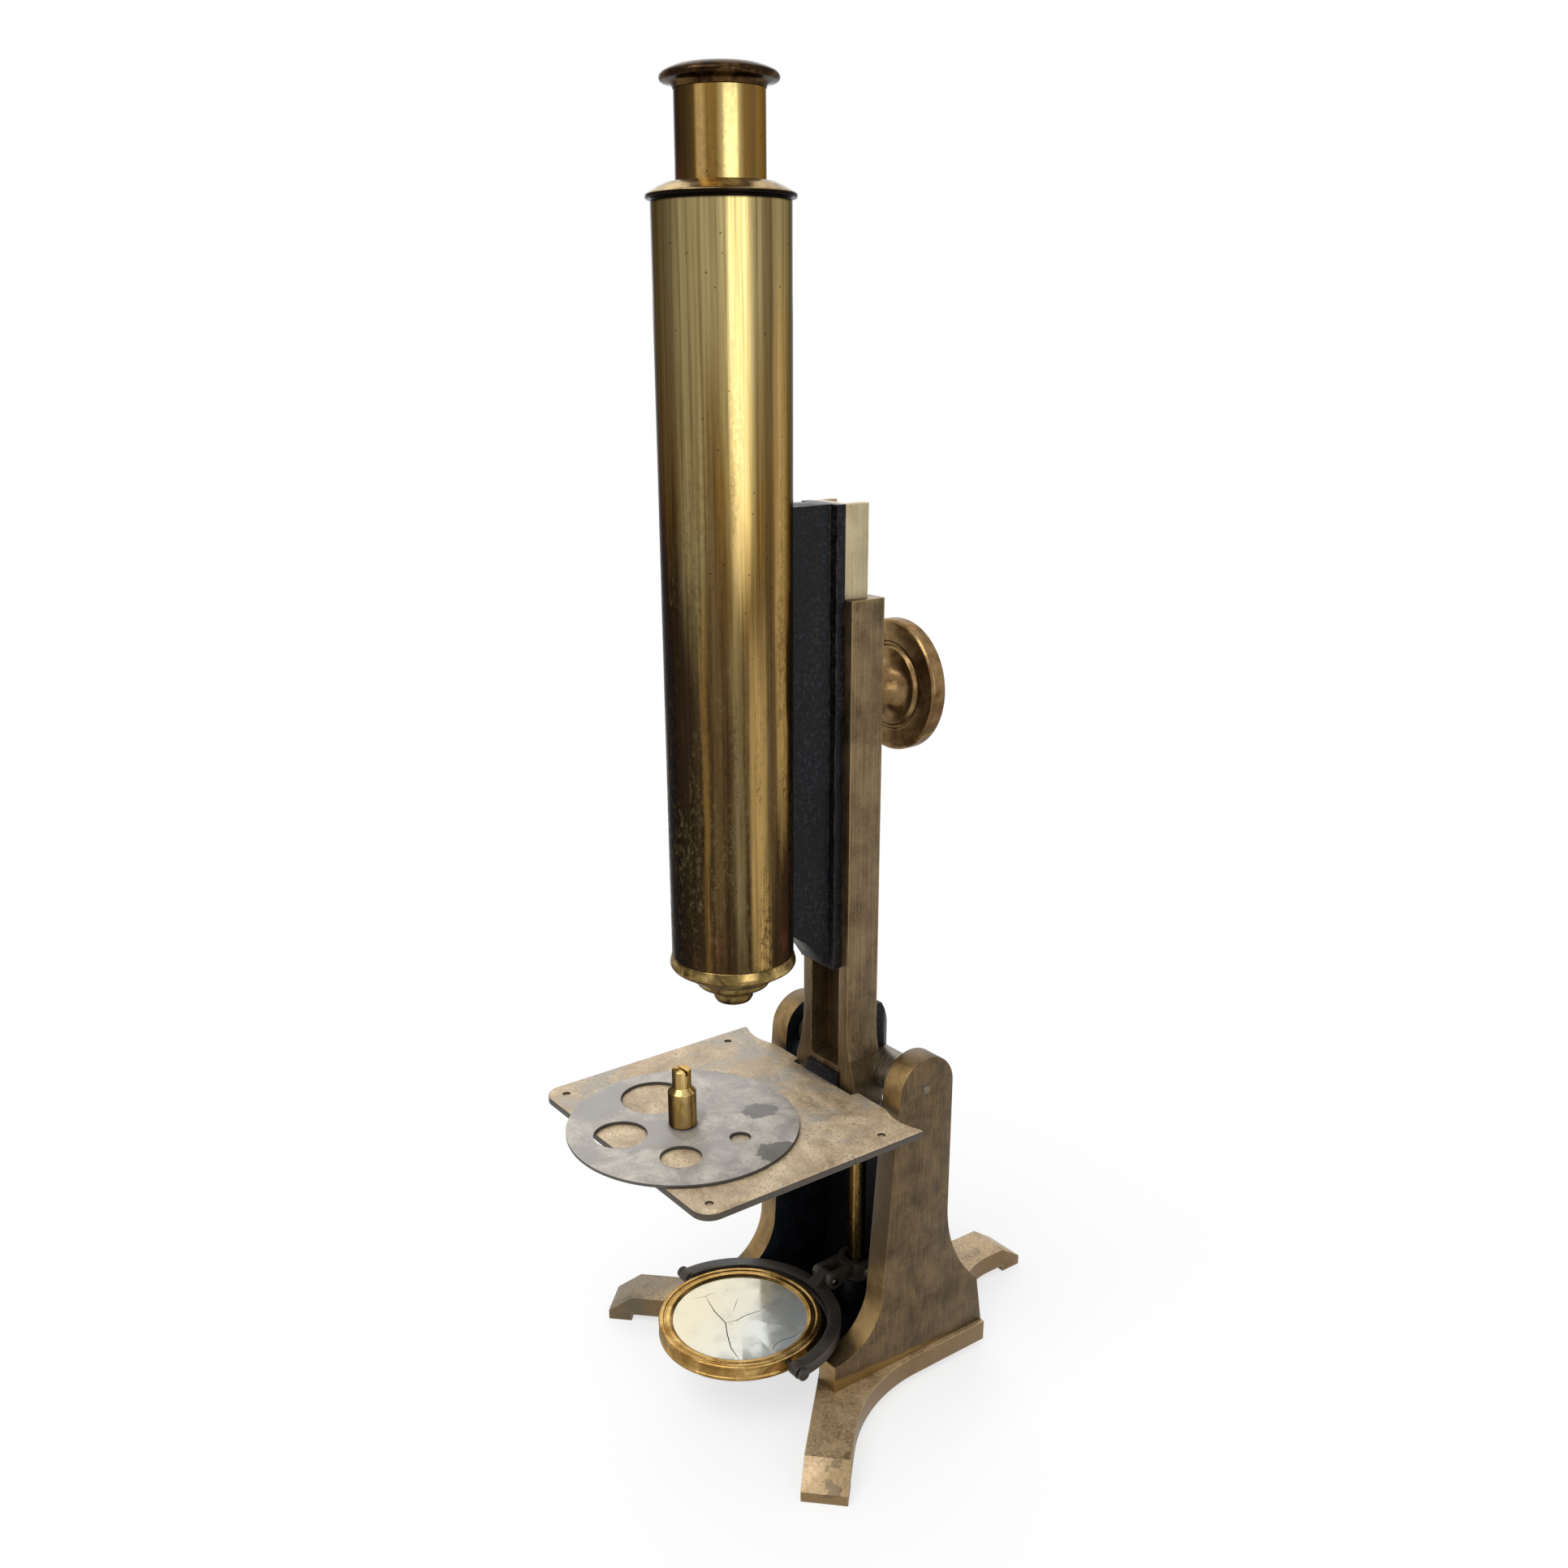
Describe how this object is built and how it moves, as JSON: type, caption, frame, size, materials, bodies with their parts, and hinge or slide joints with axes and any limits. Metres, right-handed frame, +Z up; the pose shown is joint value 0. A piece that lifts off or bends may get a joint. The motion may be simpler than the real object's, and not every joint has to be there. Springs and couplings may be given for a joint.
{
  "type": "microscope",
  "caption": "Brass compound microscope with rack focus, sliding eyepiece, aperture wheel stage and tail mirror, tilting between pillars on a tripod foot.",
  "frame": {"origin": "on the table, under the middle of the whole microscope's box", "axes": "+Z up along the body tube, +Y backward from the tube to the limb, +X towards the near pillar"},
  "size_m": [0.1378, 0.1862, 0.4097],
  "materials": {
    "aged_brass": "brushed brown patina",
    "tube_brass": "lacquered, streaked with age",
    "bright_brass": "polished",
    "stage_brass": "oxidised, matt",
    "disc_metal": "dull grey with stains",
    "black_lacquer": "satin japanned",
    "dark_bronze": "dark bronzed",
    "steel": "dull",
    "lens_glass": "clear",
    "mirror_glass": "silvered, cracked with age"
  },
  "bodies": {
    "stand": {"tripod_base": "aged_brass", "near_upright": "aged_brass", "far_upright": "aged_brass", "cross_plate": "black_lacquer", "foot_screws": "steel", "trunnion_pins": "steel"},
    "limb": {"limb": "aged_brass", "trunnion_block": "black_lacquer", "trunnion_axle": "steel", "limb_screws": "steel", "stage_bracket": "black_lacquer", "bracket_pins": "steel", "stage_plate": "stage_brass", "stage_screws": "stage_brass", "disc_post": "bright_brass", "post_nut": "steel", "tail_rod": "aged_brass", "pinion_bush": "bright_brass"},
    "focus_slide": {"dovetail_slide": "aged_brass", "gear_rack": "bright_brass", "rack_screws": "steel", "tube_bracket": "black_lacquer", "slide_screws": "steel", "tube_screws": "steel", "body_tube": "tube_brass", "top_ring": "tube_brass", "draw_bush": "bright_brass", "tube_stop": "black_lacquer", "nose_cone": "tube_brass", "nose_ring": "bright_brass", "objective_barrel": "bright_brass", "objective_lens": "lens_glass"},
    "eyepiece": {"eyepiece_tube": "bright_brass", "eyepiece_flange": "tube_brass", "eye_lens": "lens_glass", "field_stop": "black_lacquer", "field_lens": "lens_glass"},
    "focus_knob": {"focus_knob": "aged_brass", "pinion_shaft": "steel", "knob_screw": "steel"},
    "aperture_disc": {"aperture_disc": "disc_metal"},
    "mirror_sleeve": {"rod_sleeve": "black_lacquer"},
    "mirror_arm": {"mirror_arm": "dark_bronze", "arm_screw": "steel", "fork_pin": "steel"},
    "mirror_fork": {"mirror_fork": "dark_bronze", "mirror_screws": "dark_bronze"},
    "mirror": {"mirror_frame": "bright_brass", "mirror_glass": "mirror_glass", "mirror_backing": "black_lacquer"}
  },
  "joints": [
    {"name": "incline", "type": "hinge", "parent": "stand", "child": "limb", "pos_m": [0, 0.01655, 0.112], "axis": [-1, 0, 0], "range_deg": [0, 90]},
    {"name": "focus", "type": "slide", "parent": "limb", "child": "focus_slide", "axis": [0, 0, 1], "range_m": [-0.028, 0.04]},
    {"name": "knob_turn", "type": "hinge", "parent": "limb", "child": "focus_knob", "pos_m": [0, 0.02975, 0.239], "axis": [0, 1, 0], "range_deg": [-420, 600]},
    {"name": "eyepiece_draw", "type": "slide", "parent": "focus_slide", "child": "eyepiece", "axis": [0, 0, 1], "range_m": [-0.019, 0.028]},
    {"name": "disc_turn", "type": "hinge", "parent": "limb", "child": "aperture_disc", "pos_m": [0, -0.05615, 0.108], "axis": [0, 0, 1], "continuous": true},
    {"name": "mirror_height", "type": "slide", "parent": "limb", "child": "mirror_sleeve", "axis": [0, 0, 1], "range_m": [0, 0.03]},
    {"name": "mirror_swing", "type": "hinge", "parent": "mirror_sleeve", "child": "mirror_arm", "pos_m": [0, 0.01655, 0.027], "axis": [0, 0, 1], "range_deg": [-1, 1]},
    {"name": "fork_lift", "type": "hinge", "parent": "mirror_arm", "child": "mirror_fork", "pos_m": [0, 0.00305, 0.0272], "axis": [-1, 0, 0], "range_deg": [0, 40]},
    {"name": "mirror_tilt", "type": "hinge", "parent": "mirror_fork", "child": "mirror", "pos_m": [0, -0.03515, 0.025], "axis": [1, 0, 0], "range_deg": [-45, 45]}
  ],
  "couplings": [
    {"joint": "knob_turn", "follows": "focus", "rad_per_m": 250}
  ]
}
